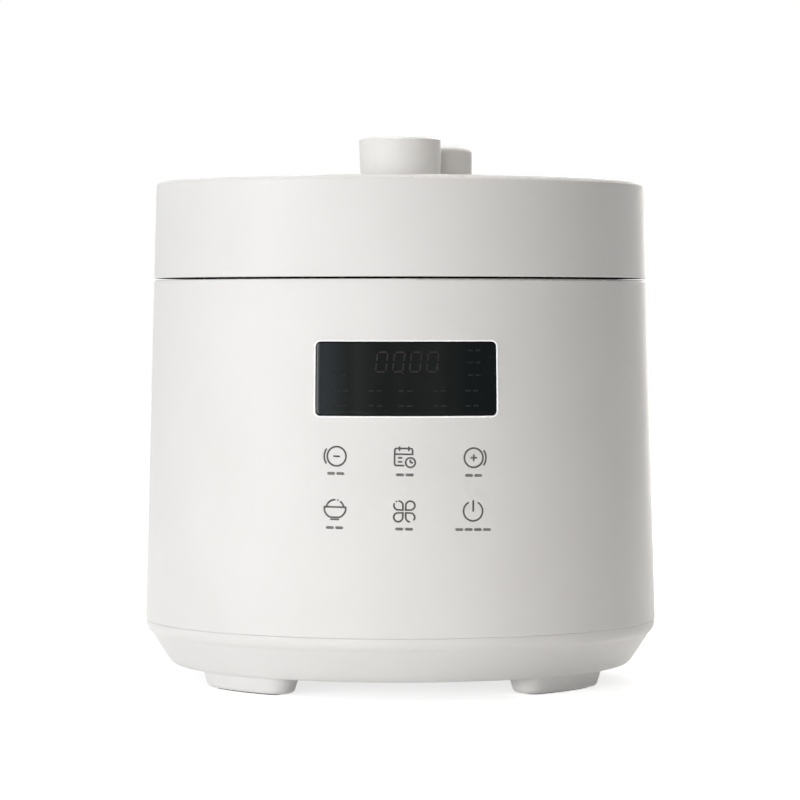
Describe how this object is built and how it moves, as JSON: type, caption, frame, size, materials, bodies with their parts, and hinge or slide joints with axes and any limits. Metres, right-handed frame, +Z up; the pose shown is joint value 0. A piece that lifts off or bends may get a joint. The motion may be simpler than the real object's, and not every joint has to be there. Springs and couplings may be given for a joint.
{
  "type": "electric pressure cooker",
  "caption": "Round electric pressure cooker with a twist-lock lid, steam valve cap, release button, dark display window and a removable inner pot.",
  "frame": {"origin": "centre of the footprint, on the surface that the cooker stands on", "axes": "+Z up along the cooker's axis; the display faces -Y; +X is to the right as seen from the front"},
  "size_m": [0.2404, 0.2404, 0.2549],
  "materials": {
    "shell_plastic": "off-white painted plastic, satin gloss",
    "knob_plastic": "off-white moulded plastic, satin gloss",
    "grey_plastic": "dark grey moulded plastic",
    "black_plastic": "black moulded plastic",
    "yellow_plastic": "yellow moulded plastic",
    "foot_rubber": "dark grey rubber",
    "silicone": "pale grey silicone rubber",
    "smoked_glass": "near-black glossy display panel",
    "nonstick": "aluminium with a dark non-stick coating",
    "steel": "stainless steel, pressed",
    "screw_steel": "zinc-plated steel",
    "cast_aluminium": "die-cast aluminium",
    "brass_pins": "nickelled brass",
    "circuit_board": "green circuit board"
  },
  "bodies": {
    "base": {"base_cover": "shell_plastic", "foot_pads": "foot_rubber", "base_screws": "screw_steel", "outer_shell": "shell_plastic", "upper_ring": "grey_plastic", "outer_pot": "steel", "bayonet_ring": "steel", "heating_plate": "cast_aluminium", "heating_element": "steel", "heater_spacers": "steel", "heater_bolts": "screw_steel", "sensor_bracket": "steel", "pressure_switch": "black_plastic", "thermal_fuse": "steel", "display_window": "smoked_glass", "display_module": "black_plastic", "control_board": "circuit_board", "board_carrier": "grey_plastic", "board_screws": "screw_steel", "touch_pads": "silicone", "power_inlet": "black_plastic", "inlet_pins": "brass_pins", "inlet_screws": "screw_steel", "power_board": "circuit_board", "power_board_screws": "screw_steel", "transformer": "black_plastic", "relay": "black_plastic", "capacitor": "yellow_plastic", "terminal_block": "grey_plastic"},
    "temperature_sensor": {"sensor_cap": "cast_aluminium", "sensor_spring": "screw_steel"},
    "pot": {"inner_pot": "nonstick"},
    "drip_cup": {"drip_cup": "shell_plastic"},
    "seal": {"sealing_ring": "silicone"},
    "lid": {"lid_cover": "shell_plastic", "bridge_cover": "shell_plastic", "lid_under_ring": "grey_plastic", "metal_lid": "steel", "lid_screws": "screw_steel", "valve_nozzle": "steel", "nozzle_nut": "steel", "anti_clog_cover": "steel", "lever_pin": "steel"},
    "steam_cap": {"valve_cap": "knob_plastic"},
    "steam_weight": {"valve_weight": "steel"},
    "release": {"release_button": "knob_plastic", "button_spring": "screw_steel"},
    "lever": {"vent_lever": "steel"},
    "float": {"float_pin": "steel", "float_seal": "silicone"}
  },
  "joints": [
    {"name": "sensor_press", "type": "slide", "parent": "base", "child": "temperature_sensor", "axis": [0, 0, 1], "range_m": [-0.0016, 0], "stiffness_N_per_m": 400, "springref_m": 0.004, "deforming": ["sensor_spring"]},
    {"name": "pot_lift", "type": "slide", "parent": "base", "child": "pot", "axis": [0, 0, 1], "range_m": [0, 0.15]},
    {"name": "drip_cup_slide", "type": "slide", "parent": "base", "child": "drip_cup", "axis": [0, 1, 0], "range_m": [0, 0.06]},
    {"name": "lid_lift", "type": "slide", "parent": "base", "child": "seal", "axis": [0, 0, 1], "range_m": [0, 0.3]},
    {"name": "lid_turn", "type": "hinge", "parent": "seal", "child": "lid", "pos_m": [0, 0, 0.1806], "axis": [0, 0, 1], "range_deg": [0, 30]},
    {"name": "cap_pull", "type": "slide", "parent": "lid", "child": "steam_cap", "axis": [0, 0, 1], "range_m": [0, 0.03]},
    {"name": "button_press", "type": "slide", "parent": "lid", "child": "release", "axis": [0, 0, -1], "range_m": [0, 0.004], "stiffness_N_per_m": 500, "springref_m": -0.003, "deforming": ["button_spring"]},
    {"name": "lever_tip", "type": "hinge", "parent": "lid", "child": "lever", "pos_m": [0.01235, 0.0182, 0.227], "axis": [-0.8274, 0.5616, 0], "range_deg": [0, 17]},
    {"name": "weight_lift", "type": "slide", "parent": "lid", "child": "steam_weight", "axis": [0, 0, 1], "range_m": [0, 0.0038]},
    {"name": "float_rise", "type": "slide", "parent": "lid", "child": "float", "axis": [0, 0, 1], "range_m": [0, 0.004]}
  ],
  "couplings": [
    {"joint": "pot_lift", "follows": "lid_lift", "ratio": 0.5},
    {"joint": "lever_tip", "follows": "button_press", "rad_per_m": 74},
    {"joint": "weight_lift", "follows": "button_press", "ratio": 0.95}
  ]
}
